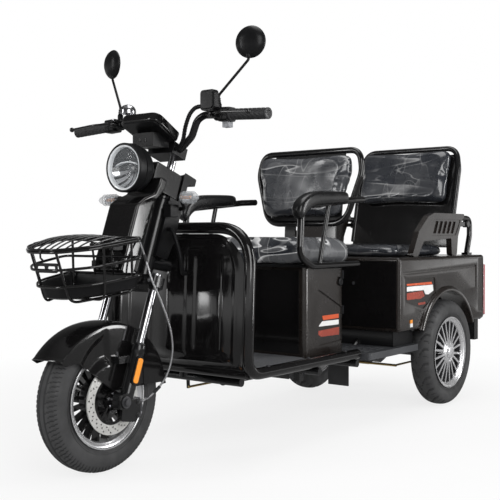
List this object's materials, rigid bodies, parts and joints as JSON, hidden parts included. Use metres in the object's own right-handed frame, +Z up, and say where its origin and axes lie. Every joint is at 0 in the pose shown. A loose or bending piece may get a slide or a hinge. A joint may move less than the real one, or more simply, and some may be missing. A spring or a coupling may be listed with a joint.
{
  "type": "electric tricycle",
  "caption": "Electric tricycle with a raked front fork, wire basket with a lid, leg shield in a tube hoop, driver's seat with armrests and a padded rear seat on a small cargo body.",
  "frame": {"origin": "on the ground, at the centre of the tricycle's bounding box", "axes": "+Y towards the rear, +X towards the tricycle's left, +Z up"},
  "size_m": [0.7888, 2.1401, 1.2763],
  "materials": {
    "gloss_black": "glossy painted plastic",
    "brown_black": "glossy brown-black plastic",
    "matt_black": "matt moulded plastic",
    "frame_black": "black powder coat",
    "chrome": "polished",
    "alloy": "bright machined alloy",
    "tyre_rubber": "black tyre rubber",
    "grip_rubber": "patterned black rubber",
    "mat_rubber": "ribbed grey rubber",
    "seat_vinyl": "dark navy vinyl, lightly glossy",
    "lens_clear": "clear lens",
    "lens_red": "red lens",
    "button_grey": "grey plastic",
    "battery_case": "plastic case",
    "hose_silver": "hose in a silver braid",
    "yellow_zinc": "yellow zinc plated rod",
    "castings": "dark casting"
  },
  "bodies": {
    "frame": {"chassis": "frame_black", "guard_hoop": "gloss_black", "leg_shield": "gloss_black", "column_cover": "matt_black", "turn_signals": "matt_black", "frame_loom": "matt_black", "floor_board": "matt_black", "floor_mat": "mat_rubber", "seat_box": "brown_black", "battery_pack": "battery_case", "cargo_body": "brown_black", "left_tail_light": "lens_red", "right_tail_light": "lens_red", "left_rear_armrest": "brown_black", "right_rear_armrest": "brown_black"},
    "steering": {"fork_upper": "frame_black", "front_panel": "gloss_black", "handlebar": "frame_black", "left_grip": "grip_rubber", "switch_pod_left": "matt_black", "switch_pod_right": "matt_black", "dash": "gloss_black", "bell": "chrome", "bar_loom": "matt_black", "basket": "matt_black", "front_brake_hose": "hose_silver"},
    "fork_lower": {"fork_leg_left": "matt_black", "fork_leg_right": "matt_black", "front_axle": "castings", "brake_caliper": "castings", "front_fender": "gloss_black"},
    "front_wheel": {"front_tyre": "tyre_rubber", "front_rim": "alloy", "brake_disc": "alloy"},
    "headlight": {"headlight_housing": "matt_black", "headlight_lens": "lens_clear"},
    "basket_lid": {"basket_lid": "matt_black"},
    "throttle": {"throttle_grip": "grip_rubber"},
    "left_lever": {"left_brake_lever": "alloy"},
    "right_lever": {"right_brake_lever": "alloy"},
    "left_mirror": {"left_mirror": "matt_black"},
    "right_mirror": {"right_mirror": "matt_black"},
    "horn": {"horn_button": "button_grey"},
    "rear_axle": {"rear_axle": "castings"},
    "left_wheel": {"left_rear_tyre": "tyre_rubber", "left_rear_rim": "alloy"},
    "right_wheel": {"right_rear_tyre": "tyre_rubber", "right_rear_rim": "alloy"},
    "driver_seat": {"seat_pan": "matt_black", "driver_cushion": "seat_vinyl", "driver_back_frame": "frame_black", "driver_back_pad": "seat_vinyl", "left_arm_pad": "matt_black", "right_arm_pad": "matt_black"},
    "bench": {"bench_cushion": "seat_vinyl"},
    "rear_backrest": {"rear_back_frame": "frame_black", "rear_back_pad": "seat_vinyl"},
    "pedal": {"brake_pedal": "frame_black"},
    "brake_rod": {"brake_rod": "yellow_zinc"},
    "charge_cap": {"charge_cap": "button_grey"}
  },
  "joints": [
    {"name": "steering", "type": "hinge", "parent": "frame", "child": "steering", "pos_m": [0, -0.59191, 0.78256], "axis": [0, 0.342, 0.9397], "range_deg": [-35, 35]},
    {"name": "fork_travel", "type": "slide", "parent": "steering", "child": "fork_lower", "axis": [0, 0.342, 0.9397], "range_m": [0, 0.045], "stiffness_N_per_m": 10000, "springref_m": -0.05, "deforming": ["front_brake_hose"]},
    {"name": "front_wheel_spin", "type": "hinge", "parent": "fork_lower", "child": "front_wheel", "pos_m": [0, -0.8564, 0.207], "axis": [1, 0, 0], "continuous": true},
    {"name": "headlight_tilt", "type": "hinge", "parent": "steering", "child": "headlight", "pos_m": [0, -0.6694, 0.864], "axis": [1, 0, 0], "range_deg": [-5, 5]},
    {"name": "basket_lid_hinge", "type": "hinge", "parent": "steering", "child": "basket_lid", "pos_m": [0, -0.84503, 0.65548], "axis": [-1, 0, 0], "range_deg": [0, 95]},
    {"name": "throttle_twist", "type": "hinge", "parent": "steering", "child": "throttle", "pos_m": [-0.393, -0.58439, 1.00791], "axis": [-0.996, -0.0615, -0.0656], "range_deg": [0, 70], "stiffness_Nm_per_rad": 0.3, "springref_deg": -17.19},
    {"name": "left_lever_pull", "type": "hinge", "parent": "steering", "child": "left_lever", "pos_m": [0.20377, -0.60671, 1.02037], "axis": [0, 0, 1], "range_deg": [0, 10], "stiffness_Nm_per_rad": 2, "springref_deg": -5.73},
    {"name": "right_lever_pull", "type": "hinge", "parent": "steering", "child": "right_lever", "pos_m": [-0.20377, -0.60671, 1.02037], "axis": [0, 0, -1], "range_deg": [0, 10], "stiffness_Nm_per_rad": 2, "springref_deg": -5.73},
    {"name": "left_mirror_turn", "type": "hinge", "parent": "steering", "child": "left_mirror", "pos_m": [0.20377, -0.57271, 1.03687], "axis": [0, 0, 1], "range_deg": [-40, 40]},
    {"name": "right_mirror_turn", "type": "hinge", "parent": "steering", "child": "right_mirror", "pos_m": [-0.20377, -0.57271, 1.03687], "axis": [0, 0, 1], "range_deg": [-40, 40]},
    {"name": "horn_press", "type": "slide", "parent": "steering", "child": "horn", "axis": [0, 0, 1], "range_m": [0, 0.003], "stiffness_N_per_m": 400, "springref_m": -0.001},
    {"name": "rear_axle_travel", "type": "slide", "parent": "frame", "child": "rear_axle", "axis": [0, 0, 1], "range_m": [0, 0.03], "stiffness_N_per_m": 20000, "springref_m": -0.05},
    {"name": "left_wheel_spin", "type": "hinge", "parent": "rear_axle", "child": "left_wheel", "pos_m": [0.31, 0.6916, 0.207], "axis": [1, 0, 0], "continuous": true},
    {"name": "right_wheel_spin", "type": "hinge", "parent": "rear_axle", "child": "right_wheel", "pos_m": [-0.31, 0.6916, 0.207], "axis": [1, 0, 0], "continuous": true},
    {"name": "driver_seat_hinge", "type": "hinge", "parent": "frame", "child": "driver_seat", "pos_m": [0, -0.1564, 0.5618], "axis": [1, 0, 0], "range_deg": [0, 60]},
    {"name": "bench_hinge", "type": "hinge", "parent": "frame", "child": "bench", "pos_m": [0, 0.4186, 0.586], "axis": [1, 0, 0], "range_deg": [0, 70]},
    {"name": "rear_backrest_fold", "type": "hinge", "parent": "frame", "child": "rear_backrest", "pos_m": [0, 0.9916, 0.716], "axis": [1, 0, 0], "range_deg": [0, 70]},
    {"name": "brake_pedal_press", "type": "hinge", "parent": "frame", "child": "pedal", "pos_m": [-0.11, -0.3564, 0.2252], "axis": [1, 0, 0], "range_deg": [0, 17], "stiffness_Nm_per_rad": 5, "springref_deg": -11.46},
    {"name": "brake_rod_travel", "type": "slide", "parent": "frame", "child": "brake_rod", "axis": [0, 1, 0], "range_m": [0, 0.0186]},
    {"name": "charge_cap_hinge", "type": "hinge", "parent": "frame", "child": "charge_cap", "pos_m": [0.2253, 0.0676, 0.5213], "axis": [0, -1, 0], "range_deg": [0, 110]}
  ],
  "couplings": [
    {"joint": "brake_rod_travel", "follows": "brake_pedal_press", "m_per_rad": 0.062}
  ]
}
